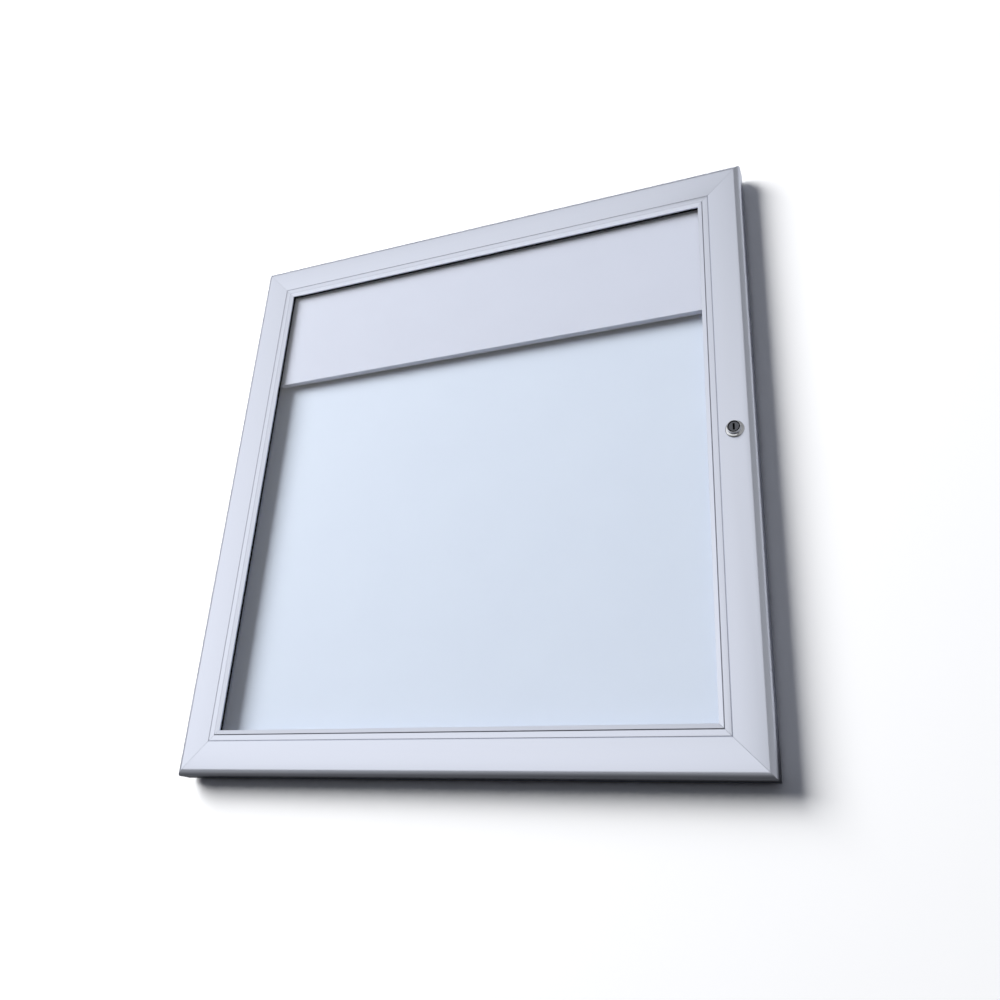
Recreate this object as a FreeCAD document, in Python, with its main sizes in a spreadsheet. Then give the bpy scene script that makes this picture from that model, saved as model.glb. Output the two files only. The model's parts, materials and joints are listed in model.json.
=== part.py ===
import FreeCAD, Part
import math
import os
import Sketcher
from FreeCAD import Placement, Rotation, Vector

# Lockable wall notice board. The frame of the model: X to the right seen from the front, Y into the wall
# and Z up. The origin is the centre of the back, on the wall's surface, so the front face is at -board_depth.
# Depths are measured back from the front face, and insets inwards from the door's outer edge.

DIMENSIONS = dict(
    board_width=718, board_height=754, board_depth=32,
    # door extrusion
    skirt_depth=26, door_wall=2, edge_radius=8, face_width=48,
    groove_setback=7, groove_width=1.2, groove_cut=0.6,
    chamber_inset=12, door_back=10, rear_plate=1.5, rear_lip=4, mitre_gap=0.08,
    # glazing: the beads, the pane and the gaskets start from the inner edge of the face
    pane_edge=2, pane_front=4.2, pane_thickness=3,
    bead_gap=0.3, bead_step=0.4, bead_width=5.7, bead_thickness=2.8, bead_bevel=4.7, bead_bevel_drop=2.4,
    bead_leg=1.8, bead_leg_clear=0.2, gasket_setback=0.3,
    # header panel behind the top of the pane, lapped over the back of the door
    header_lap=15, header_bottom_inset=205, header_thickness=1.2, header_fold=8,
    header_screw_setback=10, header_screw_span=480, header_screw_end=2,
    # case extrusion, set back from the door
    case_inset=10.8, case_wall=1.8, case_gap=1, case_flange=1.8, case_flange_width=19.2,
    backing_thickness=6, sheet_thickness=1, panel_clearance=0.3, seal_clearance=0.2,
    cleat_arm=40, cleat_thickness=1.5, cleat_clearance=0.2, drain_length=12, drain_width=3, drain_spacing=400,
    # wall fixings
    fixing_spacing_across=600, fixing_inset=22, fixing_radius=3.5,
    # corner keys
    key_arm=70, key_clearance=0.2,
    # concealed hinges at the left
    hinge_axis_inset=5.6, hinge_axis_depth=22.5, hinge_end=127, pin_radius=2, pin_clearance=0.05,
    knuckle_radius=3, case_knuckle_length=26, door_lug_length=18, knuckle_gap=0.5,
    case_leaf_length=110, case_leaf_end=1.5, case_leaf_thickness=1.4, leaf_arm=2,
    leaf_screw_spacing=90, leaf_screw_setback=4, leaf_screw_end=2,
    block_length=90, block_front=5.5, block_proud=2, block_gap=0.8, block_clearance=0.1, lug_overlap=1,
    # cam lock in the right-hand stile, as near the case wall as its nut allows
    nut_clearance=0.9, bezel_radius=10.75, bezel_height=2, nose_radius=7.75, nose_height=7, barrel_radius=8,
    nut_thickness=3.5, nut_wall=1.5, barrel_end=0.5, barrel_clearance=0.1,
    plug_radius=5.75, plug_clearance=0.05, plug_face_recess=0.4, plug_end=0.5, tail_size=7.5,
    keyway_width=2.2, keyway_height=8, keyway_cut=9, nose_chamfer=1,
    cam_gap=0.5, cam_thickness=2, cam_width=13, cam_reach=30,
    cam_clearance=0.05, cam_screw_head=4.5, cam_screw_head_height=3, cam_screw_radius=2.4,
    cam_screw_hole=6, cam_screw_end_gap=0.5,
    # keeper that the cam turns behind
    keeper_offset=4, keeper_length=28, keeper_thickness=1.5, keeper_gap=0.5, keeper_tab=17.4,
    keeper_end=0.7, keeper_screw_margin=7,
    # small hexagon-headed screws, and the play round whatever passes through a drilled hole
    screw_head_flats=5.5, screw_head_height=1.5, screw_radius=1.5, hole_clearance=0.05,
    # how far a cutting shape starts outside the piece that it cuts
    cut_margin=1,
)


# Differences below this, in millimetres, count as none.
SMALLEST = 1e-4


class Size:
    # A length that carries both its number and the sheet formula that gives it.
    def __init__(self, number, formula):
        self.number = number
        self.formula = formula

    def join(self, other, sign, number):
        return Size(number, "(%s %s %s)" % (self.formula, sign, other.formula))

    def __add__(self, other):
        other = as_size(other)
        return self.join(other, "+", self.number + other.number)

    def __sub__(self, other):
        other = as_size(other)
        return self.join(other, "-", self.number - other.number)

    def __rsub__(self, other):
        return as_size(other) - self

    def __radd__(self, other):
        return as_size(other) + self

    def __mul__(self, factor):
        return Size(self.number * factor, "(%s * %s)" % (self.formula, factor))

    def __truediv__(self, factor):
        return Size(self.number / factor, "(%s / %s)" % (self.formula, factor))

    def __neg__(self):
        return Size(-self.number, "(0 - %s)" % self.formula)


def as_size(value):
    return value if isinstance(value, Size) else Size(float(value), "%g" % value)


class Sizes:
    # The named driving dimensions, each bound to its cell of the sheet.
    def __init__(self, sheet):
        for row, (name, value) in enumerate(DIMENSIONS.items(), 1):
            sheet.set("A%d" % row, name)
            sheet.set("B%d" % row, "%g" % value)
            sheet.setAlias("B%d" % row, name)
            setattr(self, name, Size(float(value), "Sizes.%s" % name))


doc = FreeCAD.newDocument("notice_board")
sheet = doc.addObject("Spreadsheet::Sheet", "Sizes")
d = Sizes(sheet)
doc.recompute()

nodes = []
half_width = d.board_width / 2
half_height = d.board_height / 2
screw_hole = d.screw_radius + d.hole_clearance


def new_body(label):
    body = doc.addObject("PartDesign::Body", label)
    body.Label = label
    nodes.append(body)
    return body


def origin_part(body, role):
    return [item for item in body.Origin.OriginFeatures if item.Role == role][0]


def bind(obj, prop, size):
    obj.setExpression(prop, as_size(size).formula)


def place(body, x=0, depth=None, z=0, rotation=None):
    # Puts a body at x and z, with its own zero at the given depth behind the front face.
    if rotation is not None:
        body.Placement = Placement(Vector(), rotation)
    bind(body, "Placement.Base.x", x)
    bind(body, "Placement.Base.y", as_size(0 if depth is None else depth) - d.board_depth)
    bind(body, "Placement.Base.z", z)


def sketch(body, plane, offset=0):
    sk = body.newObject("Sketcher::SketchObject", "Sketch")
    sk.AttachmentSupport = [(origin_part(body, plane), "")]
    sk.MapMode = "FlatFace"
    bind(sk, "AttachmentOffset.Base.z", offset)
    return sk


def fix_point(sk, geometry, vertex, x, y):
    for kind, value in (("DistanceX", x), ("DistanceY", y)):
        value = as_size(value)
        index = sk.addConstraint(Sketcher.Constraint(kind, -1, 1, geometry, vertex, value.number))
        sk.setExpression("Constraints[%d]" % index, value.formula)


def polygon(sk, points):
    points = [(as_size(x), as_size(y)) for x, y in points]
    first = sk.GeometryCount
    ends = points[1:] + points[:1]
    for (x, y), (end_x, end_y) in zip(points, ends):
        start = Vector(x.number, y.number, 0)
        sk.addGeometry(Part.LineSegment(start, Vector(end_x.number, end_y.number, 0)), False)
    for i in range(len(points)):
        following = first + (i + 1) % len(points)
        sk.addConstraint(Sketcher.Constraint("Coincident", first + i, 2, following, 1))
    for i, (x, y) in enumerate(points):
        fix_point(sk, first + i, 1, x, y)


def rectangle(sk, x1, y1, x2, y2):
    polygon(sk, [(x1, y1), (x2, y1), (x2, y2), (x1, y2)])


def circle(sk, x, y, radius):
    x, y, radius = as_size(x), as_size(y), as_size(radius)
    centre = Vector(x.number, y.number, 0)
    index = sk.addGeometry(Part.Circle(centre, Vector(0, 0, 1), radius.number), False)
    fix_point(sk, index, 3, x, y)
    constraint = sk.addConstraint(Sketcher.Constraint("Radius", index, radius.number))
    sk.setExpression("Constraints[%d]" % constraint, radius.formula)


def pad(body, sk, length, backwards=False, both_ways=False):
    feature = body.newObject("PartDesign::Pad", "Pad")
    feature.Profile = sk
    bind(feature, "Length", length)
    feature.Reversed = backwards
    if both_ways:
        feature.SideType = "Symmetric"
    doc.recompute()
    return feature


def cut(body, sk, length=None, backwards=False):
    # Cuts right through both ways, or one way by a length, and makes sure that it takes something away.
    before = body.Shape.Volume
    feature = body.newObject("PartDesign::Pocket", "Pocket")
    feature.Profile = sk
    if length is None:
        feature.SideType = "Symmetric"
        feature.Type = "ThroughAll"
    else:
        bind(feature, "Length", length)
        feature.Reversed = backwards
    doc.recompute()
    if body.Shape.Volume >= before - SMALLEST:
        raise RuntimeError("a cut takes nothing from " + body.Label)
    return feature


def revolve(body, points):
    # Turns an outline of radius against depth round the body's own Y axis.
    sk = sketch(body, "XY_Plane")
    polygon(sk, points)
    feature = body.newObject("PartDesign::Revolution", "Revolution")
    feature.Profile = sk
    feature.ReferenceAxis = (sk, ["V_Axis"])
    feature.Angle = 360
    doc.recompute()
    return feature


def repeat(body, features, across=None, up=(), number_across=2):
    # Repeats features along X by a total span, and doubles them up Z by each of the given spans.
    steps = []
    for axis, span, count in [("X_Axis", across, number_across)] + [("Z_Axis", span, 2) for span in up]:
        if span is None:
            continue
        step = body.newObject("PartDesign::LinearPattern", "Step")
        step.Direction = (origin_part(body, axis), [""])
        bind(step, "Length", span)
        step.Occurrences = count
        steps.append(step)
    pattern = body.newObject("PartDesign::MultiTransform", "Pattern")
    pattern.Originals = features
    pattern.Transformations = steps
    body.Tip = pattern
    doc.recompute()
    return pattern


def mirror_corners(body, feature):
    # Repeats one corner's feature in the other three corners.
    mirrors = []
    for plane in ("YZ_Plane", "XY_Plane"):
        mirror = body.newObject("PartDesign::Mirrored", "Mirror")
        mirror.MirrorPlane = (origin_part(body, plane), [""])
        mirrors.append(mirror)
    pattern = body.newObject("PartDesign::MultiTransform", "Corners")
    pattern.Originals = [feature]
    pattern.Transformations = mirrors
    body.Tip = pattern
    doc.recompute()
    return pattern


def round_edges(body, corners):
    # Rounds the long edges that stand at the given inset and depth, each with its own radius.
    for inset, depth, radius in corners:
        names = []
        for number, edge in enumerate(body.Shape.Edges, 1):
            middle = edge.valueAt((edge.FirstParameter + edge.LastParameter) / 2)
            along = abs(edge.tangentAt(edge.FirstParameter).z) > 1 - SMALLEST
            offset = abs(middle.x - as_size(inset).number) + abs(middle.y - as_size(depth).number)
            if along and offset < SMALLEST:
                names.append("Edge%d" % number)
        base = body.Tip
        fillet = body.newObject("PartDesign::Fillet", "Fillet")
        fillet.Base = (base, names)
        bind(fillet, "Radius", radius)
        doc.recompute()


# The four sides of a mitred frame. Each side's own X runs inwards, its Y runs back and its Z along the side.
SIDES = {
    "left": (Rotation(), -1, 0, "board_height"),
    "right": (Rotation(Vector(0, 1, 0), 180), 1, 0, "board_height"),
    "top": (Rotation(Vector(0, 1, 0), 90), 0, 1, "board_width"),
    "bottom": (Rotation(Vector(0, 1, 0), -90), 0, -1, "board_width"),
}


def side_length(side):
    return getattr(d, SIDES[side][3])


def mitred_member(label, side, outline, corners=(), void=None):
    # One length of extrusion, cut at 45 degrees at both ends.
    rotation, x_sign, z_sign, _ = SIDES[side]
    length = side_length(side)
    body = new_body(label)
    sk = sketch(body, "XY_Plane")
    polygon(sk, outline)
    if void:
        rectangle(sk, *void)
    pad(body, sk, length, both_ways=True)
    round_edges(body, corners)
    reach = max((as_size(x) for x, _ in outline), key=lambda size: size.number) + d.cut_margin
    for end in (1, -1):
        tip = length / 2 + d.cut_margin - d.mitre_gap / 2
        root = length / 2 - reach - d.mitre_gap / 2
        sk = sketch(body, "XZ_Plane")
        polygon(sk, [(-d.cut_margin, tip * end), (reach, (tip + reach) * end), (reach, root * end)])
        cut(body, sk)
    place(body, half_width * x_sign, 0, half_height * z_sign, rotation)
    return body


def plate(label, outline, front, thickness, holes=()):
    # A flat piece that faces the front, with round holes.
    body = new_body(label)
    sk = sketch(body, "XZ_Plane")
    for box in outline:
        rectangle(sk, *box)
    for x, z, radius in holes:
        circle(sk, x, z, radius)
    pad(body, sk, thickness, backwards=True)
    place(body, 0, front, 0)
    return body


def frame_box(inset):
    return (-(half_width - inset), -(half_height - inset), half_width - inset, half_height - inset)


def hole_across(body, depth, along, radius, start, wall):
    # A round hole along the body's own X, through the wall that starts at the given place.
    sk = sketch(body, "YZ_Plane", start - d.cut_margin)
    circle(sk, depth, along, radius)
    cut(body, sk, wall + d.cut_margin * 2, backwards=True)


# Door frame: the skirt, the rounded nose, the grooved face, the closed chamber and the pane's rear lip.
chamber_outer = d.chamber_inset - d.door_wall
nose_inner = d.edge_radius - d.door_wall
rear_plate_front = d.door_back - d.rear_plate
rear_lip_inset = d.face_width + d.rear_lip
groove_inset = d.face_width - d.groove_setback
header_screw_inset = d.face_width - d.header_screw_setback
DOOR_OUTLINE = [
    (0, d.skirt_depth),
    (0, 0),
    (groove_inset - d.groove_width / 2, 0),
    (groove_inset, d.groove_cut),
    (groove_inset + d.groove_width / 2, 0),
    (d.face_width, 0),
    (d.face_width, rear_plate_front),
    (rear_lip_inset, rear_plate_front),
    (rear_lip_inset, d.door_back),
    (chamber_outer, d.door_back),
    (chamber_outer, d.door_wall),
    (d.door_wall, d.door_wall),
    (d.door_wall, d.skirt_depth),
]
CHAMBER = (d.chamber_inset, d.door_wall, d.face_width - d.door_wall, rear_plate_front)
NOSE = [(0, 0, d.edge_radius), (d.door_wall, d.door_wall, nose_inner)]


nut_flats = (d.barrel_radius + d.nut_wall) * 2
lock_inset = d.case_inset + d.case_wall + d.nut_clearance + nut_flats / 2


def door_member(label, side):
    return mitred_member(label, side, DOOR_OUTLINE, NOSE, CHAMBER)


def add_lock_hole(stile):
    sk = sketch(stile, "XZ_Plane")
    circle(sk, lock_inset, 0, d.barrel_radius + d.barrel_clearance)
    cut(stile, sk)


def add_header_screw_holes(member):
    for along in header_row:
        sk = sketch(member, "XZ_Plane", -(d.door_back + d.cut_margin))
        circle(sk, header_screw_inset, along, screw_hole)
        cut(member, sk, d.rear_plate + d.cut_margin * 2, backwards=True)


header_row = [d.header_screw_span / 2 * i for i in (-1, 0, 1)]
door_top_rail = door_member("door_top_rail", "top")
door_member("door_bottom_rail", "bottom")
door_member("door_hinge_stile", "left")
door_lock_stile = door_member("door_lock_stile", "right")
add_lock_hole(door_lock_stile)
add_header_screw_holes(door_top_rail)


def corner_angle(label, outer, inner_step, arm, front, thickness):
    # Four flat angles in the corners of the frame, one pad mirrored into every corner.
    body = new_body(label)
    sk = sketch(body, "XZ_Plane")
    x, z = half_width - outer, half_height - outer
    polygon(sk, [(x, z), (x, z - arm), (x - inner_step, z - arm), (x - inner_step, z - inner_step),
                 (x - arm, z - inner_step), (x - arm, z)])
    feature = pad(body, sk, thickness, backwards=True)
    mirror_corners(body, feature)
    place(body, 0, front, 0)
    return body


key_outer = d.chamber_inset + d.key_clearance
key_width = d.face_width - d.door_wall - d.chamber_inset - d.key_clearance * 2
corner_angle("door_corner_keys", key_outer, key_width, d.key_arm, d.door_wall + d.key_clearance,
             rear_plate_front - d.door_wall - d.key_clearance * 2)

# Glazing: beads on all four sides, a soft gasket either side of the pane, and the pane.
bead_outer = d.face_width + d.bead_gap
bead_inner = bead_outer + d.bead_width
bead_under = d.bead_step + d.bead_thickness
BEAD_OUTLINE = [
    (bead_outer, d.bead_step),
    (bead_inner - d.bead_bevel, d.bead_step),
    (bead_inner, d.bead_step + d.bead_bevel_drop),
    (bead_inner, bead_under),
    (bead_outer + d.bead_leg, bead_under),
    (bead_outer + d.bead_leg, d.pane_front - d.bead_leg_clear),
    (bead_outer, d.pane_front - d.bead_leg_clear),
]
for side in SIDES:
    mitred_member("glazing_bead_" + side, side, BEAD_OUTLINE)
gasket_outer = bead_outer + d.bead_leg + d.bead_leg_clear
pane_back = d.pane_front + d.pane_thickness
gasket_ring = [frame_box(gasket_outer), frame_box(bead_inner - d.gasket_setback)]
plate("glazing_gasket", gasket_ring, bead_under, d.pane_front - bead_under)
plate("glazing_pane", [frame_box(d.face_width + d.pane_edge)], d.pane_front, d.pane_thickness)
plate("rear_glazing_seal", gasket_ring, pane_back, rear_plate_front - pane_back)

# Header panel: a sheet across the back of the door, with its lower edge folded back.
header_low = half_height - d.header_bottom_inset
header_inset = d.face_width - d.header_lap
header_x = half_width - header_inset
header_holes = [(x, half_height - header_screw_inset, screw_hole) for x in header_row]
header_panel = plate("header_panel", [(-header_x, header_low, header_x, half_height - header_inset)],
                     d.door_back, d.header_thickness, header_holes)
fold = sketch(header_panel, "XZ_Plane")
fold_x = half_width - rear_lip_inset
rectangle(fold, -fold_x, header_low, fold_x, header_low + d.header_thickness)
pad(header_panel, fold, d.header_fold, backwards=True)


def hexagon(sk, flats):
    corner = flats / math.sqrt(3)
    side = [(flats / 2, corner / 2), (0, corner), (-(flats / 2), corner / 2)]
    polygon(sk, side + [(-x, -y) for x, y in side])


def hex_screws(label, plane, length):
    # A shank along the plane's own normal and a hexagon head behind it, with the head's underside at zero.
    body = new_body(label)
    shank = sketch(body, plane)
    circle(shank, 0, 0, d.screw_radius)
    features = [pad(body, shank, length)]
    head = sketch(body, plane)
    hexagon(head, d.screw_head_flats)
    features.append(pad(body, head, d.screw_head_height, backwards=True))
    return body, features


header_back = d.door_back + d.header_thickness
header_screw_length = d.header_thickness + d.rear_plate + d.header_screw_end
screws, features = hex_screws("header_screws", "XZ_Plane", header_screw_length)
repeat(screws, features, d.header_screw_span, number_across=len(header_row))
place(screws, -(d.header_screw_span / 2), header_back, half_height - header_screw_inset)

# Case: an inset wall with a rear flange, which carries the backing board and the white sheet.
case_inner = d.case_inset + d.case_wall
case_front = d.door_back + d.case_gap
case_flange_inset = d.case_inset + d.case_flange_width
flange_front = d.board_depth - d.case_flange
board_front = flange_front - d.backing_thickness
sheet_front = board_front - d.sheet_thickness
CASE_OUTLINE = [
    (d.case_inset, case_front),
    (case_inner, case_front),
    (case_inner, flange_front),
    (case_flange_inset, flange_front),
    (case_flange_inset, d.board_depth),
    (d.case_inset, d.board_depth),
]
fixing_x = d.fixing_spacing_across / 2
fixing_z = half_height - d.fixing_inset
case_members = {side: mitred_member("case_" + side, side, CASE_OUTLINE) for side in SIDES}
for side in ("top", "bottom"):
    for sign in (-1, 1):
        sk = sketch(case_members[side], "XZ_Plane")
        circle(sk, d.fixing_inset, fixing_x * sign, d.fixing_radius)
        cut(case_members[side], sk)
# Drain slots in the bottom of the case.
drain_depth = (case_front + sheet_front) / 2
for along in (-(d.drain_spacing / 2), d.drain_spacing / 2):
    sk = sketch(case_members["bottom"], "YZ_Plane", d.case_inset - d.cut_margin)
    rectangle(sk, drain_depth - d.drain_width / 2, along - d.drain_length / 2,
              drain_depth + d.drain_width / 2, along + d.drain_length / 2)
    cut(case_members["bottom"], sk, d.case_wall + d.cut_margin * 2, backwards=True)

corner_angle("case_corner_cleats", case_inner, d.cleat_thickness, d.cleat_arm,
             case_front + d.cleat_clearance, sheet_front - case_front - d.cleat_clearance * 2)

fixing_holes = [(fixing_x * i, fixing_z * j, d.fixing_radius) for i in (-1, 1) for j in (-1, 1)]
panel_box = frame_box(case_inner + d.panel_clearance)
plate("backing_board", [panel_box], board_front, d.backing_thickness, fixing_holes)
plate("back_panel", [panel_box], sheet_front, d.sheet_thickness, fixing_holes)
plate("weather_seal", [frame_box(d.case_inset), frame_box(case_inner)],
      d.door_back + d.seal_clearance, d.case_gap - d.seal_clearance)

# Concealed hinges: the case leaf carries the middle knuckle, the door block two lugs, and a pin joins them.
axis_x = d.hinge_axis_inset - half_width
hinge_spacing = d.board_height - d.hinge_end * 2
leaf_outer = d.case_inset - d.case_leaf_thickness
block_back = d.door_back + d.block_proud
leaf_screw_depth = block_back + d.leaf_screw_setback
leaf_screw_offset = d.leaf_screw_spacing / 2
knuckle_half = d.case_knuckle_length / 2
lug_start = knuckle_half + d.knuckle_gap
pin_length = (lug_start + d.door_lug_length) * 2


def block(body, low, length, x1, depth1, x2, depth2):
    # A rectangular block given by insets and depths, in a body whose own Z axis is the hinge axis.
    sk = sketch(body, "XY_Plane", low)
    rectangle(sk, x1 - d.hinge_axis_inset, depth1 - d.hinge_axis_depth,
              x2 - d.hinge_axis_inset, depth2 - d.hinge_axis_depth)
    pad(body, sk, length)


def knuckle(body, low, length, bore_radius):
    # A round knuckle about the hinge axis, from the given height up, with the bore for the pin.
    sk = sketch(body, "XY_Plane", low)
    circle(sk, 0, 0, d.knuckle_radius)
    pad(body, sk, length)
    sk = sketch(body, "XY_Plane", low - d.cut_margin)
    circle(sk, 0, 0, bore_radius)
    cut(body, sk, length + d.cut_margin * 2, backwards=True)


def hinge(name, z):
    leaf = new_body("hinge_case_leaf_" + name)
    block(leaf, -(d.case_leaf_length / 2), d.case_leaf_length, leaf_outer, block_back,
          d.case_inset, d.hinge_axis_depth + d.case_leaf_end)
    arm_front = d.hinge_axis_depth - d.knuckle_radius
    block(leaf, -knuckle_half, d.case_knuckle_length, d.hinge_axis_inset, arm_front,
          leaf_outer + d.case_leaf_thickness / 2, arm_front + d.leaf_arm)
    knuckle(leaf, -knuckle_half, d.case_knuckle_length, d.pin_radius)
    for sign in (-1, 1):
        hole_across(leaf, leaf_screw_depth - d.hinge_axis_depth, leaf_screw_offset * sign, screw_hole,
                    leaf_outer - d.hinge_axis_inset, d.case_leaf_thickness)
    place(leaf, axis_x, d.hinge_axis_depth, z)

    carrier = new_body("hinge_door_block_" + name)
    block(carrier, -(d.block_length / 2), d.block_length, d.door_wall + d.block_gap, d.block_front,
          chamber_outer - d.block_clearance, block_back)
    for low in (lug_start, -(lug_start + d.door_lug_length)):
        block(carrier, low, d.door_lug_length, d.hinge_axis_inset - d.knuckle_radius,
              block_back - d.lug_overlap, d.hinge_axis_inset + d.knuckle_radius, d.hinge_axis_depth)
        knuckle(carrier, low, d.door_lug_length, d.pin_radius + d.pin_clearance)
    place(carrier, axis_x, d.hinge_axis_depth, z)

    pin = new_body("hinge_pin_" + name)
    sk = sketch(pin, "XY_Plane")
    circle(sk, 0, 0, d.pin_radius)
    pad(pin, sk, pin_length, both_ways=True)
    place(pin, axis_x, d.hinge_axis_depth, z)


hinge("top", hinge_spacing / 2)
hinge("bottom", -(hinge_spacing / 2))

leaf_screw_length = d.case_leaf_thickness + d.case_wall + d.leaf_screw_end
screws, features = hex_screws("hinge_case_screws", "YZ_Plane", leaf_screw_length)
repeat(screws, features, up=[d.leaf_screw_spacing, hinge_spacing])
place(screws, leaf_outer - half_width, leaf_screw_depth, -(hinge_spacing / 2) - leaf_screw_offset)
for sign in (-1, 1):
    for offset in (-1, 1):
        along = hinge_spacing / 2 * sign + leaf_screw_offset * offset
        hole_across(case_members["left"], leaf_screw_depth, along, screw_hole, d.case_inset, d.case_wall)

# Cam lock: bezel and nose in front of the face, threaded barrel and nut, plug, cam and screw.
lock_x = half_width - lock_inset
bore = d.plug_radius + d.plug_clearance
barrel_back = d.door_back + d.nut_thickness + d.barrel_end
plug_back = barrel_back + d.plug_end
cam_front = plug_back + d.cam_gap
cam_back = cam_front + d.cam_thickness
barrel = new_body("lock_barrel")
revolve(barrel, [
    (bore, -d.nose_height), (d.nose_radius - d.nose_chamfer, -d.nose_height),
    (d.nose_radius, d.nose_chamfer - d.nose_height), (d.nose_radius, -d.bezel_height),
    (d.bezel_radius - d.nose_chamfer, -d.bezel_height), (d.bezel_radius, 0), (d.barrel_radius, 0),
    (d.barrel_radius, barrel_back), (bore, barrel_back)])
place(barrel, lock_x, 0, 0)

nut = new_body("lock_nut")
sk = sketch(nut, "XZ_Plane")
hexagon(sk, nut_flats)
circle(sk, 0, 0, d.barrel_radius + d.hole_clearance)
pad(nut, sk, d.nut_thickness, backwards=True)
place(nut, lock_x, d.door_back, 0)

plug = new_body("lock_plug")
plug_front = d.plug_face_recess - d.nose_height
revolve(plug, [(0, plug_front), (d.plug_radius, plug_front), (d.plug_radius, plug_back), (0, plug_back)])
sk = sketch(plug, "XZ_Plane", -plug_back)
half_tail = d.tail_size / 2
rectangle(sk, -half_tail, -half_tail, half_tail, half_tail)
pad(plug, sk, cam_back - plug_back, backwards=True)
sk = sketch(plug, "XZ_Plane", -plug_front)
rectangle(sk, -(d.keyway_width / 2), -(d.keyway_height / 2), d.keyway_width / 2, d.keyway_height / 2)
cut(plug, sk, d.keyway_cut)
sk = sketch(plug, "XZ_Plane", -cam_back)
circle(sk, 0, 0, d.cam_screw_radius + d.hole_clearance)
cut(plug, sk, d.cam_screw_hole, backwards=True)
place(plug, lock_x, 0, 0)

cam = new_body("lock_cam")
half_cam = d.cam_width / 2
sk = sketch(cam, "XZ_Plane")
circle(sk, 0, 0, half_cam)
pad(cam, sk, d.cam_thickness, backwards=True)
sk = sketch(cam, "XZ_Plane")
rectangle(sk, half_cam - d.cam_reach, -half_cam, 0, half_cam)
pad(cam, sk, d.cam_thickness, backwards=True)
sk = sketch(cam, "XZ_Plane")
circle(sk, half_cam - d.cam_reach, 0, half_cam)
pad(cam, sk, d.cam_thickness, backwards=True)
sk = sketch(cam, "XZ_Plane")
half_hole = half_tail + d.cam_clearance
rectangle(sk, -half_hole, -half_hole, half_hole, half_hole)
cut(cam, sk)
place(cam, lock_x, cam_front, 0)

cam_screw = new_body("cam_screw")
cam_screw_tip = d.cam_screw_end_gap - d.cam_screw_hole
revolve(cam_screw, [(0, d.cam_screw_head_height), (d.cam_screw_head, d.cam_screw_head_height),
                    (d.cam_screw_head, 0), (d.cam_screw_radius, 0),
                    (d.cam_screw_radius, cam_screw_tip), (0, cam_screw_tip)])
place(cam_screw, lock_x, cam_back, 0)

# Keeper: an angle on the inside of the case wall, with the tab that the cam turns behind.
keeper = new_body("lock_keeper")
keeper_base = case_inner + d.keeper_thickness
keeper_front = cam_front - d.keeper_gap - d.keeper_thickness
keeper_reach = case_inner + d.keeper_tab
keeper_back = sheet_front - d.keeper_end
keeper_screw_depth = (keeper_front + d.keeper_thickness + keeper_back) / 2
keeper_start = d.barrel_radius + d.keeper_offset
sk = sketch(keeper, "XY_Plane", -(keeper_start + d.keeper_length))
polygon(sk, [(case_inner, keeper_front), (keeper_reach, keeper_front),
             (keeper_reach, keeper_front + d.keeper_thickness),
             (keeper_base, keeper_front + d.keeper_thickness), (keeper_base, keeper_back),
             (case_inner, keeper_back)])
pad(keeper, sk, d.keeper_length)
screw_low = keeper_start + d.keeper_screw_margin
screw_high = keeper_start + d.keeper_length - d.keeper_screw_margin
for along in (-screw_low, -screw_high):
    hole_across(keeper, keeper_screw_depth, along, screw_hole, case_inner, d.keeper_thickness)
    hole_across(case_members["right"], keeper_screw_depth, along, screw_hole, d.case_inset, d.case_wall)
place(keeper, half_width, 0, 0, SIDES["right"][0])
screws, features = hex_screws("keeper_screws", "YZ_Plane", d.keeper_thickness + d.case_wall)
repeat(screws, features, up=[screw_high - screw_low])
place(screws, half_width - keeper_base, keeper_screw_depth, screw_low)

doc.recompute()
for item in doc.Objects:
    if "Invalid" in item.State or "Error" in item.State:
        raise RuntimeError("%s is %s" % (item.Label, item.State))
os.makedirs("parts", exist_ok=True)
for body in nodes:
    shape = body.Shape
    if shape.isNull() or not shape.isValid():
        raise RuntimeError(body.Label + " has no sound shape")
    shape.exportStep(os.path.join("parts", body.Label + ".step"))
    print(body.Label, len(shape.Solids), round(shape.Volume))
print(len(nodes), "nodes")
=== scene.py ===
import json
from math import radians

import bmesh
import bpy
from mathutils import Matrix, Quaternion, Vector

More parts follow.
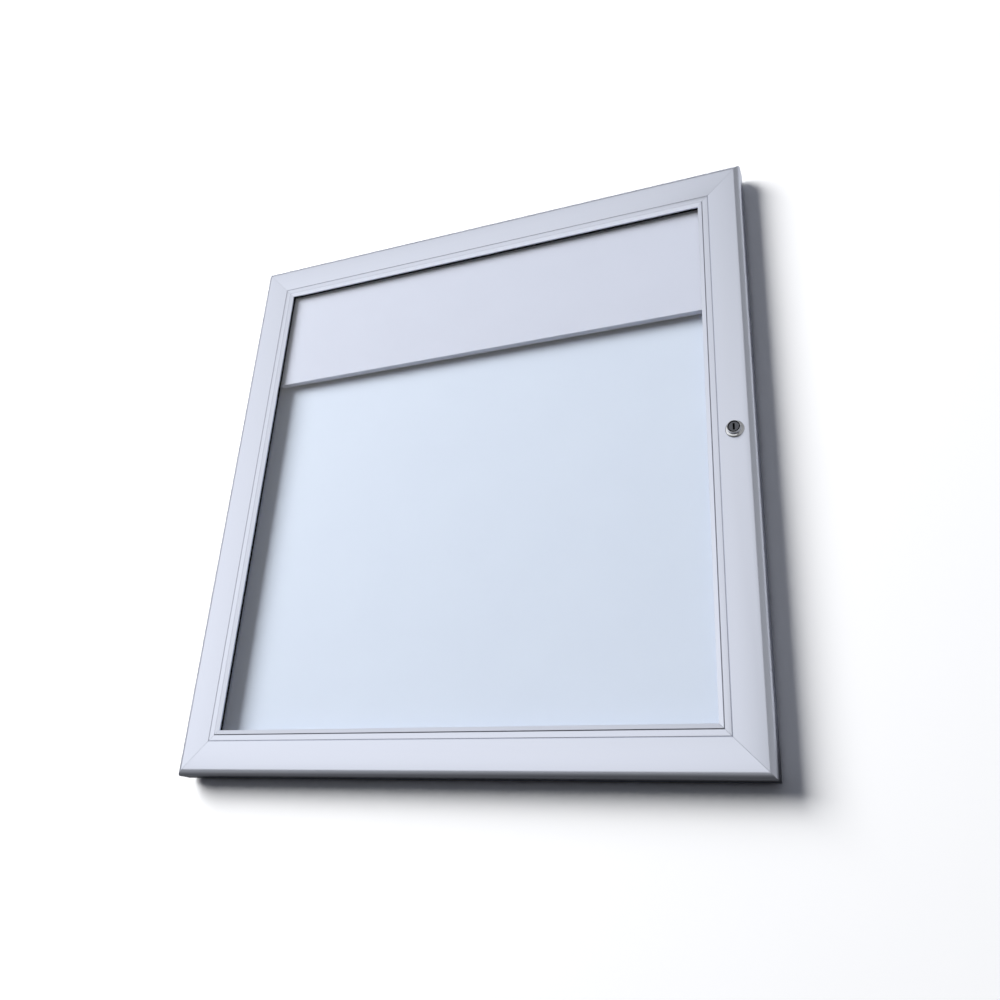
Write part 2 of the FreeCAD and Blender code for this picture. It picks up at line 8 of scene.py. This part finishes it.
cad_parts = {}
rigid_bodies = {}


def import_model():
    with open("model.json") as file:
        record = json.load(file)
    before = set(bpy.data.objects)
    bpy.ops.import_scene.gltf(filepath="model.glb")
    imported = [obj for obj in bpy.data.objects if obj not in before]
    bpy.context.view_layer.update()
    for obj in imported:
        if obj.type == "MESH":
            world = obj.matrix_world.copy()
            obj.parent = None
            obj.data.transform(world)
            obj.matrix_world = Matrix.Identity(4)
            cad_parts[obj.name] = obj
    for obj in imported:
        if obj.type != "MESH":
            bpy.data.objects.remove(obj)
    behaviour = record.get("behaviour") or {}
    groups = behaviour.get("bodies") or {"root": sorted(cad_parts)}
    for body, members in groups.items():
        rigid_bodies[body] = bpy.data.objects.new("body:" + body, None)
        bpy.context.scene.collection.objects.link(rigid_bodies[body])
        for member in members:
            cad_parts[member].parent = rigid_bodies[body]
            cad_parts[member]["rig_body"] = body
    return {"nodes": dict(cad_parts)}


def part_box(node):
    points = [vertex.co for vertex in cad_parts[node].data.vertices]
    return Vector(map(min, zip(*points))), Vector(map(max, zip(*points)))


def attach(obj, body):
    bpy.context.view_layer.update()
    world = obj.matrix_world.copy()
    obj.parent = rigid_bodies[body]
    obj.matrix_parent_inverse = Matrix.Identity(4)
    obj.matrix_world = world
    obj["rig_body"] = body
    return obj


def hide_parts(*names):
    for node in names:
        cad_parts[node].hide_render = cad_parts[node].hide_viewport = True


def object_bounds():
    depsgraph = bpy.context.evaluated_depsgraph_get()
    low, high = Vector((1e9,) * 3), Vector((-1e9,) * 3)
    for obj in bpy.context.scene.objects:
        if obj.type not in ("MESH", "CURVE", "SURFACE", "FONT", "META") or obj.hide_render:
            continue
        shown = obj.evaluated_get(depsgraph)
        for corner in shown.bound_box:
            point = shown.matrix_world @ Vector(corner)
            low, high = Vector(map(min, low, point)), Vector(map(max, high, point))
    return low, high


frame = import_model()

# A lockable notice board, screwed flat to a pale wall. X runs to the right, Y into the wall and Z up, in
# metres. The pieces' dictionaries give millimetres, as a drawing does, and the stage's give metres. Depths
# are measured back from the door's face, and insets inwards from the door's outer edge.

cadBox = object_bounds()
cadNodes = frame["nodes"]
scene = bpy.context.scene
mm = 0.001
halfWidth = cadBox[1][0] / mm
halfHeight = cadBox[1][2] / mm
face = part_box("door_top_rail")[0][1]  # where the door's face lies in Y, in metres


def linear(hexText):
    # A colour as it is written on screen, turned to the light that the shaders work in.
    def channel(pair):
        value = int(pair, 16) / 255
        return value / 12.92 if value <= 0.04045 else ((value + 0.055) / 1.055) ** 2.4
    return (*[channel(hexText[i:i + 2]) for i in (1, 3, 5)], 1)


def perMetre(size):
    # The pattern scale that gives features of this many millimetres.
    return 1 / (size * mm)


def addNode(tree, kind, settings=None, inputs=None):
    node = tree.nodes.new(kind)
    for name, value in (settings or {}).items():
        setattr(node, name, value)
    for socket, value in (inputs or {}).items():
        if isinstance(value, bpy.types.NodeSocket):
            tree.links.new(value, node.inputs[socket])
        else:
            node.inputs[socket].default_value = value
    return node


def newFinish(name):
    material = bpy.data.materials.new(name)
    material.use_nodes = True
    material.node_tree.nodes.clear()
    return material, material.node_tree


def grain(tree, sizes, detail):
    # Noise on the piece's own coordinates, with features of the given millimetres along X, Y and Z.
    place = addNode(tree, "ShaderNodeTexCoord")
    fitted = addNode(tree, "ShaderNodeMapping", {}, {
        "Vector": place.outputs["Object"], "Scale": [perMetre(size) for size in sizes]})
    noise = addNode(tree, "ShaderNodeTexNoise", {}, {
        "Vector": fitted.outputs["Vector"], "Scale": 1, "Detail": detail})
    return noise.outputs["Fac"]


# The middle range of the noise, which the roughness follows, and the bump's share.
coat = {"patternLow": 0.3, "patternHigh": 0.7, "relief": 0.35}


def addCoat(tree, pattern, colours, roughness, height, depth, sockets):
    # Colour and roughness go from their first value to their second as the pattern does. The height gives the
    # relief, with its depth in millimetres, and sockets holds what else the shader needs.
    tint = addNode(tree, "ShaderNodeMix", {"data_type": "RGBA"}, {
        0: pattern, 6: linear(colours[0]), 7: linear(colours[1])})
    sheen = addNode(tree, "ShaderNodeMapRange", {}, {
        "Value": pattern, "From Min": coat["patternLow"], "From Max": coat["patternHigh"],
        "To Min": roughness[0], "To Max": roughness[1]})
    relief = addNode(tree, "ShaderNodeBump", {}, {
        "Height": height, "Strength": coat["relief"], "Distance": depth * mm})
    skin = addNode(tree, "ShaderNodeBsdfPrincipled", {}, {
        "Base Color": tint.outputs[2], "Roughness": sheen.outputs["Result"],
        "Normal": relief.outputs["Normal"], **sockets})
    addNode(tree, "ShaderNodeOutputMaterial", {}, {"Surface": skin.outputs["BSDF"]})


anodising = {
    "colours": ("#E0E5F4", "#E3E8F5"), "roughness": (0.28, 0.31),
    "dieLine": 0.9, "dieLineLength": 420, "dieLineDetail": 3,
    "etch": 0.3, "etchDepth": 0.004, "etchDetail": 2,
}


def satinAnodised(name, along):
    # Extruded aluminium, etched and clear anodised: a soft silver sheen, faint die lines along the member and
    # a matt tooth. The die lines are drawn a little coarser than they are, so that they show.
    material, tree = newFinish(name)
    sizes = [anodising["dieLine"]] * 3
    sizes[along] = anodising["dieLineLength"]
    lines = grain(tree, sizes, anodising["dieLineDetail"])
    etch = grain(tree, [anodising["etch"]] * 3, anodising["etchDetail"])
    addCoat(tree, lines, anodising["colours"], anodising["roughness"], etch, anodising["etchDepth"],
            {"Metallic": 1})
    return material


stoving = {"cloud": 90, "peel": 1.6, "peelDepth": 0.012, "detail": 2}


def stovedPaint(name, colours, roughness):
    # Coil-coated sheet: an even, slightly clouded colour with the faint orange peel of stoved paint.
    material, tree = newFinish(name)
    cloud = grain(tree, [stoving["cloud"]] * 3, stoving["detail"])
    peel = grain(tree, [stoving["peel"]] * 3, stoving["detail"])
    addCoat(tree, cloud, colours, roughness, peel, stoving["peelDepth"], {})
    return material


epdm = {"colours": ("#0A0C13", "#15171F"), "roughness": (0.5, 0.7), "specular": 0.25,
        "bloom": 0.8, "bloomDepth": 0.01, "detail": 4}


def epdmRubber():
    # Extruded black EPDM: nearly black, dry and matt, with a fine bloom on its skin.
    material, tree = newFinish("epdmRubber")
    bloom = grain(tree, [epdm["bloom"]] * 3, epdm["detail"])
    addCoat(tree, bloom, epdm["colours"], epdm["roughness"], bloom, epdm["bloomDepth"],
            {"Specular IOR Level": epdm["specular"]})
    return material


glazing = {"body": "#FCFDFD", "shadow": "#F9FAFA", "ior": 1.5}


def floatGlass():
    # Clear 3 mm safety glass: nearly colourless, with a smooth, sharp reflection. Shadow and diffuse rays
    # pass straight through it, so that the panel behind it is lit.
    material, tree = newFinish("floatGlass")
    glass = addNode(tree, "ShaderNodeBsdfPrincipled", {}, {
        "Base Color": linear(glazing["body"]), "Roughness": 0, "IOR": glazing["ior"],
        "Transmission Weight": 1})
    clear = addNode(tree, "ShaderNodeBsdfTransparent", {}, {"Color": linear(glazing["shadow"])})
    rays = addNode(tree, "ShaderNodeLightPath")
    passing = addNode(tree, "ShaderNodeMath", {"operation": "MAXIMUM"}, {
        0: rays.outputs["Is Shadow Ray"], 1: rays.outputs["Is Diffuse Ray"]})
    mixed = addNode(tree, "ShaderNodeMixShader", {}, {
        0: passing.outputs[0], 1: glass.outputs["BSDF"], 2: clear.outputs["BSDF"]})
    addNode(tree, "ShaderNodeOutputMaterial", {}, {"Surface": mixed.outputs["Shader"]})
    return material


metalDetail = 3
metals = {
    # Zinc plate: a cloudy, satin grey. The clouds are drawn coarser than they are, so that they show.
    "zincPlatedSteel": {
        "colours": ("#B4B8BF", "#C9CCD1"), "roughness": (0.28, 0.42), "size": 2.5, "depth": 0.01},
    # The sandy skin of a die casting.
    "castAluminium": {
        "colours": ("#B0B2B7", "#C4C6CA"), "roughness": (0.45, 0.6), "size": 0.6, "depth": 0.03},
    # The bright mirror of chrome, with hardly a haze.
    "chromePlatedZinc": {
        "colours": ("#DCDEE2", "#E6E8EC"), "roughness": (0.05, 0.1), "size": 0.5, "depth": 0.001},
    # The face that the key goes in. Its colour is painted shade: far darker than nickel plate, it stands in
    # for the shade and dark reflections in the recessed plug face.
    "nickelPlatedBrassPaintedShade": {
        "colours": ("#4C4E54", "#6C6E74"), "roughness": (0.1, 0.2), "size": 0.4, "depth": 0.004},
}


def plainMetal(name):
    # Metal with a grain of its own size, in colour, sheen and relief alike.
    metal = metals[name]
    material, tree = newFinish(name)
    skin = grain(tree, [metal["size"]] * 3, metalDetail)
    addCoat(tree, skin, metal["colours"], metal["roughness"], skin, metal["depth"], {"Metallic": 1})
    return material


felt = {"colours": ("#8E6E4C", "#B08C63"), "roughness": (0.75, 0.95), "specular": 0.3,
        "fibre": (3, 3, 0.7), "depth": 0.03, "detail": 5}


def fibreboard():
    # Medium-density fibreboard: warm brown, felted from short fibres, dry and matt.
    material, tree = newFinish("fibreboard")
    fibres = grain(tree, felt["fibre"], felt["detail"])
    addCoat(tree, fibres, felt["colours"], felt["roughness"], fibres, felt["depth"],
            {"Specular IOR Level": felt["specular"]})
    return material


railAluminium = satinAnodised("satinAnodisedAluminiumRail", 0)
stileAluminium = satinAnodised("satinAnodisedAluminiumStile", 2)
headerPaint = stovedPaint("headerStovedPaint", ("#DADDED", "#DEE1F1"), (0.37, 0.43))
whiteEnamel = stovedPaint("whiteEnamelledSteel", ("#E1EAFB", "#E5EEFE"), (0.32, 0.38))
rubber = epdmRubber()
glass = floatGlass()
zincPlate = plainMetal("zincPlatedSteel")
castAluminium = plainMetal("castAluminium")
chrome = plainMetal("chromePlatedZinc")
nickelWithPaintedShade = plainMetal("nickelPlatedBrassPaintedShade")
board = fibreboard()
print("finishes made")


def inCamel(node):
    first, *rest = node.split("_")
    return first + "".join(word.capitalize() for word in rest)


def addPiece(name, mesh, material, body, replaced=()):
    piece = bpy.data.objects.new(name, mesh)
    scene.collection.objects.link(piece)
    mesh.materials.clear()
    mesh.materials.append(material)
    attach(piece, body)
    if replaced:
        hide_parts(*replaced)
    return piece


# Angles in degrees, and the merging distance in metres.
easing = {"segments": 2, "sharpFrom": 30, "flatWithin": 1, "merged": 1e-6}


def easeEdges(piece, width):
    ease = piece.modifiers.new("easedEdges", "BEVEL")
    ease.width = width * mm
    ease.segments = easing["segments"]
    ease.limit_method = "ANGLE"
    ease.angle_limit = radians(easing["sharpFrom"])
    ease.harden_normals = True


def meshFrom(form, name):
    # The finished mesh of a form, smooth but for its real edges.
    bmesh.ops.recalc_face_normals(form, faces=form.faces)
    for item in form.faces:
        item.smooth = True
    mesh = bpy.data.meshes.new(name)
    form.to_mesh(mesh)
    form.free()
    mesh.set_sharp_from_angle(angle=radians(easing["sharpFrom"]))
    return mesh


def dress(node, material, eased):
    # A copy of a CAD piece, its triangles merged into faces and its edges eased as a finisher leaves them.
    form = bmesh.new()
    form.from_mesh(cadNodes[node].data)
    bmesh.ops.remove_doubles(form, verts=form.verts, dist=easing["merged"])
    bmesh.ops.dissolve_limit(form, angle_limit=radians(easing["flatWithin"]), verts=form.verts,
                             edges=form.edges)
    name = inCamel(node)
    piece = addPiece(name, meshFrom(form, name), material, cadNodes[node]["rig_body"], [node])
    if eased:
        easeEdges(piece, eased)


# How far each piece's edges are eased. The seals and the pane keep theirs, and so do the hinge blocks, whose
# meshes the easing would open.
dressed = {
    railAluminium: {"door_top_rail": 0.2, "door_bottom_rail": 0.2, "case_top": 0.2, "case_bottom": 0.2},
    stileAluminium: {"door_hinge_stile": 0.2, "door_lock_stile": 0.2, "case_left": 0.2, "case_right": 0.2},
    headerPaint: {"header_panel": 0.2},
    whiteEnamel: {"back_panel": 0.15},
    rubber: {"glazing_gasket": 0, "rear_glazing_seal": 0, "weather_seal": 0},
    glass: {"glazing_pane": 0},
    zincPlate: {"hinge_case_leaf_top": 0.2, "hinge_case_leaf_bottom": 0.2, "hinge_pin_top": 0.2,
                "hinge_pin_bottom": 0.2, "hinge_case_screws": 0.15, "header_screws": 0.15,
                "keeper_screws": 0.15, "lock_keeper": 0.25, "lock_cam": 0.25, "cam_screw": 0.2,
                "lock_nut": 0.3},
    castAluminium: {"door_corner_keys": 0.3, "case_corner_cleats": 0.3, "hinge_door_block_top": 0,
                    "hinge_door_block_bottom": 0},
    nickelWithPaintedShade: {"lock_plug": 0.15},
    board: {"backing_board": 0.3},
}
for material, group in dressed.items():
    for node, eased in group.items():
        dress(node, material, eased)
print("CAD pieces dressed")

# The bead's section, as inset and depth. Its nose stands a little proud of the face, with a chamfer towards
# the frame, so that a fine dark line shows round the lower and right sides.
bead = {
    "section": [(48.3, 4), (48.3, -0.1), (49, -0.9), (54, 1.4), (54, 3.2), (50.1, 3.2), (50.1, 4)],
    "mitreGap": 0.04, "eased": 0.12,
}


def addBead(side, material, turn, reach, end):
    # One glazing bead: its section, pulled from one mitre to the other along the side.
    form = bmesh.new()
    corners = [form.verts.new((inset - reach, depth, end - inset - bead["mitreGap"]))
               for inset, depth in bead["section"]]
    outline = [form.edges.new(pair) for pair in zip(corners, corners[1:] + corners[:1])]
    for item in bmesh.ops.extrude_edge_only(form, edges=outline)["geom"]:
        if isinstance(item, bmesh.types.BMVert):
            item.co.z = -item.co.z
    bmesh.ops.holes_fill(form, edges=form.edges)
    bmesh.ops.transform(form, verts=form.verts, matrix=Matrix.Translation((0, face, 0))
                        @ Matrix.Rotation(radians(turn), 4, "Y") @ Matrix.Scale(mm, 4))
    node = "glazing_bead_" + side
    name = inCamel(node)
    piece = addPiece(name, meshFrom(form, name), material, cadNodes[node]["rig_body"], [node])
    easeEdges(piece, bead["eased"])


for side, material, turn, reach, end in (
        ("left", stileAluminium, 0, halfWidth, halfHeight),
        ("top", railAluminium, 90, halfHeight, halfWidth),
        ("right", stileAluminium, 180, halfWidth, halfHeight),
        ("bottom", railAluminium, -90, halfHeight, halfWidth)):
    addBead(side, material, turn, reach, end)
print("beads made")

# The lock's barrel and the rubber ring in its nose, as radius and depth. The barrel goes on with its thread.
barrel = {
    "outside": [(5.8, -6), (7.05, -6), (7.1, -6.85), (7.25, -7), (7.45, -7), (7.65, -6.85), (7.75, -6.5),
                (7.75, -2.5), (7.95, -2.2), (9.1, -1.85), (10.3, -1.1), (10.65, -0.6), (10.75, -0.25),
                (10.75, 0), (8, 0)],
    "threadStart": 0.5, "threadPitch": 1, "threadDepth": 0.45, "steps": 64, "merged": 1e-3,
}
noseRing = {"section": [(5.85, -5.95), (5.85, -6.3), (6.1, -6.6), (6.8, -6.6), (7, -6.3), (7, -5.95)]}


def addSpun(name, section, material, replaced=()):
    # A closed section turned once round the lock's axis.
    low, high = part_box("lock_barrel")
    form = bmesh.new()
    corners = [form.verts.new((radius, depth, 0)) for radius, depth in section]
    outline = [form.edges.new(pair) for pair in zip(corners, corners[1:] + corners[:1])]
    bmesh.ops.spin(form, geom=corners + outline, cent=(0, 0, 0), axis=(0, 1, 0), angle=radians(360),
                   steps=barrel["steps"], use_merge=True)
    bmesh.ops.remove_doubles(form, verts=form.verts, dist=barrel["merged"])
    bmesh.ops.transform(form, verts=form.verts, matrix=Matrix.Translation(
        ((low[0] + high[0]) / 2, face, (low[2] + high[2]) / 2)) @ Matrix.Scale(mm, 4))
    addPiece(name, meshFrom(form, name), material, cadNodes["lock_barrel"]["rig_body"], replaced)


def barrelSection():
    # The outside, then the thread as far as the barrel's back, and the bore.
    section = list(barrel["outside"])
    bore = section[0][0]
    crest = section[-1][0]
    root = crest - barrel["threadDepth"]
    back = (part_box("lock_barrel")[1][1] - face) / mm
    start = barrel["threadStart"]
    while start < back - barrel["threadPitch"]:
        section += [(crest, start), (root, start + barrel["threadPitch"] / 2)]
        start += barrel["threadPitch"]
    return section + [(crest, start), (root, back), (bore, back)]


addSpun("lockBarrel", barrelSection(), chrome, ["lock_barrel"])
addSpun("lockNoseRing", noseRing["section"], rubber)

# Socket set screws that clamp the hinge blocks in the door's channel, two in each block.
grubScrew = {
    "radius": 1.5, "proud": 0.8, "sunk": 1, "socket": 0.87, "socketDepth": 0.7, "steps": 24, "socketSides": 6,
    "inset": 6.35, "depth": 12, "fromMiddle": 40, "eased": 0.15,
}


def addGrubScrew(block, sign):
    form = bmesh.new()
    bmesh.ops.create_circle(form, segments=grubScrew["steps"], radius=grubScrew["radius"])
    rim = list(form.edges)
    bmesh.ops.create_circle(form, segments=grubScrew["socketSides"], radius=grubScrew["socket"])
    socket = [edge for edge in form.edges if edge not in rim]
    bmesh.ops.bridge_loops(form, edges=rim + socket)
    for loop, depth in ((rim, grubScrew["proud"] + grubScrew["sunk"]), (socket, grubScrew["socketDepth"])):
        pulled = bmesh.ops.extrude_edge_only(form, edges=loop)["geom"]
        sunk = [item for item in pulled if isinstance(item, bmesh.types.BMVert)]
        bmesh.ops.translate(form, verts=sunk, vec=(0, 0, -depth))
    bmesh.ops.holes_fill(form, edges=form.edges)
    node = "hinge_door_block_" + block
    low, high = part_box(node)
    place = (cadBox[0][0] + grubScrew["inset"] * mm, face + (grubScrew["depth"] + grubScrew["proud"]) * mm,
             (low[2] + high[2]) / 2 + sign * grubScrew["fromMiddle"] * mm)
    bmesh.ops.transform(form, verts=form.verts, matrix=Matrix.Translation(place)
                        @ Matrix.Rotation(radians(-90), 4, "X") @ Matrix.Scale(mm, 4))
    name = "hingeGrubScrew" + block.capitalize() + ("Upper" if sign > 0 else "Lower")
    piece = addPiece(name, meshFrom(form, name), zincPlate, cadNodes[node]["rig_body"])
    easeEdges(piece, grubScrew["eased"])


for block in ("top", "bottom"):
    for sign in (1, -1):
        addGrubScrew(block, sign)
print("lock barrel and set screws made")

def addStage(name, material, size, place):
    # An upright plane that faces the front.
    form = bmesh.new()
    bmesh.ops.create_grid(form, x_segments=1, y_segments=1, size=0.5)
    bmesh.ops.scale(form, verts=form.verts, vec=(*size, 1))
    bmesh.ops.transform(form, verts=form.verts, matrix=Matrix.Translation(place)
                        @ Matrix.Rotation(radians(90), 4, "X"))
    mesh = bpy.data.meshes.new(name)
    form.to_mesh(mesh)
    form.free()
    mesh.materials.append(material)
    piece = bpy.data.objects.new(name, mesh)
    scene.collection.objects.link(piece)
    return piece


# Sizes and places in metres, and brightness as a part of white.
wall = {"size": (12, 12), "behind": 0.0005, "passes": 0.004, "albedo": "#E6E6E6", "shown": 1.18,
        "mirrored": 0.68, "mirroredPaintedShadow": 0.1, "lowAt": -0.38, "highAt": -0.3, "fadeFrom": 1, "fadeTo": 2.5}


def addWall():
    # The studio wall keeps the board's shadow and fades to plain white away from it. Metal sees it dimmer
    # than the camera does, as painted shade in its reflection, and darker still below the board, as a painted
    # shadow added to the real one. Seen from behind it isn't there, and light that starts within a few
    # millimetres of it passes, so that the board's back can be looked at.
    material, tree = newFinish("paleWallPaint")
    rays = addNode(tree, "ShaderNodeLightPath")
    seen = addNode(tree, "ShaderNodeMath", {"operation": "MAXIMUM"}, {
        0: rays.outputs["Is Camera Ray"], 1: rays.outputs["Is Transmission Ray"]})
    colour = addNode(tree, "ShaderNodeMix", {"data_type": "RGBA"}, {
        0: seen.outputs[0], 6: linear(wall["albedo"]), 7: (*[wall["shown"]] * 3, 1)})
    place = addNode(tree, "ShaderNodeTexCoord")
    parts = addNode(tree, "ShaderNodeSeparateXYZ", {}, {0: place.outputs["Object"]})
    # Painted shadow: what metal sees of the wall is darkened below the board, and dimmed everywhere as
    # painted shade.
    mirrored = addNode(tree, "ShaderNodeMapRange", {"interpolation_type": "SMOOTHSTEP"}, {
        "Value": parts.outputs["Z"], "From Min": wall["lowAt"], "From Max": wall["highAt"],
        "To Min": wall["mirroredPaintedShadow"], "To Max": wall["mirrored"]})
    mirroredWithPaintedShade = addNode(tree, "ShaderNodeMix", {"data_type": "RGBA"}, {
        0: rays.outputs["Is Glossy Ray"], 6: colour.outputs[2], 7: mirrored.outputs["Result"]})
    paint = addNode(tree, "ShaderNodeBsdfDiffuse", {}, {"Color": mirroredWithPaintedShade.outputs[2]})
    away = addNode(tree, "ShaderNodeVectorMath", {"operation": "LENGTH"}, {0: place.outputs["Object"]})
    faded = addNode(tree, "ShaderNodeMapRange", {"interpolation_type": "SMOOTHSTEP"}, {
        "Value": away.outputs["Value"], "From Min": wall["fadeFrom"], "From Max": wall["fadeTo"], "To Min": 0,
        "To Max": seen.outputs[0]})
    white = addNode(tree, "ShaderNodeEmission", {}, {"Color": (1, 1, 1, 1), "Strength": 1})
    backdrop = addNode(tree, "ShaderNodeMixShader", {}, {
        0: faded.outputs["Result"], 1: paint.outputs["BSDF"], 2: white.outputs["Emission"]})
    side = addNode(tree, "ShaderNodeNewGeometry")
    near = addNode(tree, "ShaderNodeMath", {"operation": "LESS_THAN"}, {
        0: rays.outputs["Ray Length"], 1: wall["passes"]})
    passed = addNode(tree, "ShaderNodeMath", {"operation": "MAXIMUM"}, {
        0: side.outputs["Backfacing"], 1: near.outputs[0]})
    clear = addNode(tree, "ShaderNodeBsdfTransparent")
    mixed = addNode(tree, "ShaderNodeMixShader", {}, {
        0: passed.outputs[0], 1: backdrop.outputs["Shader"], 2: clear.outputs["BSDF"]})
    addNode(tree, "ShaderNodeOutputMaterial", {}, {"Surface": mixed.outputs["Shader"]})
    addStage("studioWall", material, wall["size"], (0, wall["behind"], 0))


# The card's two edges along X and along Z, where it is black, and where it comes to its full level. The level
# is the one at X 0 and Z 0, and changes by acrossX and upZ for each metre.
card = {"distance": 1.5, "level": 0.945, "acrossX": -0.06, "upZ": -0.07,
        "X": {"edges": (-5, 0.7), "full": (-4, 0.32)}, "Z": {"edges": (-0.9, 4.5), "full": (-0.42, 3.5)}}


def addReflectorCard():
    # A large white card in front and to the left, which only metal and glass see. It fades towards its edges.
    # Its right and lower ones give the rounded edges of the door their fall into shade.
    material, tree = newFinish("whiteCard")
    place = addNode(tree, "ShaderNodeTexCoord")
    parts = addNode(tree, "ShaderNodeSeparateXYZ", {}, {0: place.outputs["Object"]})
    across = addNode(tree, "ShaderNodeMath", {"operation": "MULTIPLY_ADD"}, {
        0: parts.outputs["X"], 1: card["acrossX"], 2: card["level"]})
    level = addNode(tree, "ShaderNodeMath", {"operation": "MULTIPLY_ADD"}, {
        0: parts.outputs["Z"], 1: card["upZ"], 2: across.outputs[0]})
    for axis in ("X", "Z"):
        for edge, full in zip(card[axis]["edges"], card[axis]["full"]):
            fade = addNode(tree, "ShaderNodeMapRange", {"interpolation_type": "SMOOTHSTEP"}, {
                "Value": parts.outputs[axis], "From Min": edge, "From Max": full, "To Min": 0, "To Max": 1})
            level = addNode(tree, "ShaderNodeMath", {"operation": "MULTIPLY"}, {
                0: level.outputs[0], 1: fade.outputs["Result"]})
    glow = addNode(tree, "ShaderNodeEmission", {}, {"Color": (1, 1, 1, 1), "Strength": level.outputs[0]})
    addNode(tree, "ShaderNodeOutputMaterial", {}, {"Surface": glow.outputs["Emission"]})
    left, right = card["X"]["edges"]
    bottom, top = card["Z"]["edges"]
    piece = addStage("reflectorCard", material, (right - left, top - bottom),
                     ((left + right) / 2, -card["distance"], (bottom + top) / 2))
    for ray in ("camera", "diffuse", "transmission", "volume_scatter", "shadow"):
        setattr(piece, "visible_" + ray, False)


# Distance and size in metres, and power in watts.
keyLight = {"toLight": (-1.12, -1, 0.8), "distance": 7, "size": (4.2, 4.4), "power": 785, "colour": "#FFFFFF"}


def addKeyLight():
    # A large softbox to the upper left in front. Polished and glazed faces don't mirror it.
    data = bpy.data.lights.new("keyLight", "AREA")
    data.shape = "RECTANGLE"
    data.size, data.size_y = keyLight["size"]
    data.energy = keyLight["power"]
    data.color = linear(keyLight["colour"])[:3]
    light = bpy.data.objects.new("keyLight", data)
    towards = Vector(keyLight["toLight"]).normalized()
    light.location = towards * keyLight["distance"]
    light.rotation_euler = (-towards).to_track_quat("-Z", "Y").to_euler()
    light.visible_glossy = False
    light.visible_transmission = False
    scene.collection.objects.link(light)


# A range runs along the direction's own Z or Y, from -1 to 1.
studio = {
    "fillAbove": 0.35, "fillBelow": 0, "fillRange": (-0.5, 0.8), "fillColour": "#E2E8FA",
    "room": 0.33, "roomAcrossX": 0.06, "roomUpZ": -0.06, "roomLowest": 0.2, "roomRange": (-0.95, -0.35),
    "behind": 0.8, "behindRange": (0.05, 0.5),
}


def addStudioWorld():
    # White where the camera looks past the board. Metal sees a dim room that is darker below, and matt faces
    # get a soft fill from above. Behind the wall it is lighter, which only the board's back sees.
    world = bpy.data.worlds.new("studioWorld")
    scene.world = world
    world.use_nodes = True
    tree = world.node_tree
    tree.nodes.clear()
    rays = addNode(tree, "ShaderNodeLightPath")
    way = addNode(tree, "ShaderNodeTexCoord")
    parts = addNode(tree, "ShaderNodeSeparateXYZ", {}, {0: way.outputs["Generated"]})
    fillLevel = addNode(tree, "ShaderNodeMapRange", {"interpolation_type": "SMOOTHSTEP"}, {
        "Value": parts.outputs["Z"], "From Min": studio["fillRange"][0], "From Max": studio["fillRange"][1],
        "To Min": studio["fillBelow"], "To Max": studio["fillAbove"]})
    across = addNode(tree, "ShaderNodeMath", {"operation": "MULTIPLY_ADD"}, {
        0: parts.outputs["X"], 1: studio["roomAcrossX"], 2: studio["room"]})
    level = addNode(tree, "ShaderNodeMath", {"operation": "MULTIPLY_ADD"}, {
        0: parts.outputs["Z"], 1: studio["roomUpZ"], 2: across.outputs[0]})
    below = addNode(tree, "ShaderNodeMapRange", {"interpolation_type": "SMOOTHSTEP"}, {
        "Value": parts.outputs["Z"], "From Min": studio["roomRange"][0], "From Max": studio["roomRange"][1],
        "To Min": studio["roomLowest"], "To Max": 1})
    room = addNode(tree, "ShaderNodeMath", {"operation": "MULTIPLY"}, {
        0: level.outputs[0], 1: below.outputs["Result"]})
    behind = addNode(tree, "ShaderNodeMapRange", {"interpolation_type": "SMOOTHSTEP"}, {
        "Value": parts.outputs["Y"], "From Min": studio["behindRange"][0],
        "From Max": studio["behindRange"][1], "To Min": 0, "To Max": studio["behind"]})
    fillThere = addNode(tree, "ShaderNodeMath", {"operation": "ADD"}, {
        0: fillLevel.outputs["Result"], 1: behind.outputs["Result"]})
    roomThere = addNode(tree, "ShaderNodeMath", {"operation": "ADD"}, {
        0: room.outputs[0], 1: behind.outputs["Result"]})
    fill = addNode(tree, "ShaderNodeBackground", {}, {
        "Color": linear(studio["fillColour"]), "Strength": fillThere.outputs[0]})
    mirrored = addNode(tree, "ShaderNodeBackground", {}, {
        "Color": (1, 1, 1, 1), "Strength": roomThere.outputs[0]})
    white = addNode(tree, "ShaderNodeBackground", {}, {"Color": (1, 1, 1, 1), "Strength": 1})
    matt = addNode(tree, "ShaderNodeMixShader", {}, {
        0: rays.outputs["Is Glossy Ray"], 1: fill.outputs[0], 2: mirrored.outputs[0]})
    seen = addNode(tree, "ShaderNodeMath", {"operation": "MAXIMUM"}, {
        0: rays.outputs["Is Camera Ray"], 1: rays.outputs["Is Transmission Ray"]})
    shown = addNode(tree, "ShaderNodeMixShader", {}, {
        0: seen.outputs[0], 1: matt.outputs[0], 2: white.outputs[0]})
    addNode(tree, "ShaderNodeOutputWorld", {}, {"Surface": shown.outputs[0]})


# Solved from the photograph: places in metres, the roll in degrees, and the lens and sensor in millimetres.
viewpoint = {"place": (0.460, -0.9556, -0.4863), "lookAt": (0.0557, -0.032, -0.0544), "roll": 3.31,
             "lens": 32.76, "sensor": 36}


def addCamera():
    data = bpy.data.cameras.new("camera")
    data.lens = viewpoint["lens"]
    data.sensor_width = viewpoint["sensor"]
    camera = bpy.data.objects.new("camera", data)
    place = Vector(viewpoint["place"])
    aim = (Vector(viewpoint["lookAt"]) - place).to_track_quat("-Z", "Y")
    turn = aim @ Quaternion((0, 0, 1), radians(viewpoint["roll"]))
    camera.matrix_world = Matrix.Translation(place) @ turn.to_matrix().to_4x4()
    scene.collection.objects.link(camera)
    scene.camera = camera


addWall()
addReflectorCard()
addKeyLight()
addStudioWorld()
addCamera()
scene.view_settings.view_transform = "Standard"
print("wall, light and camera set")
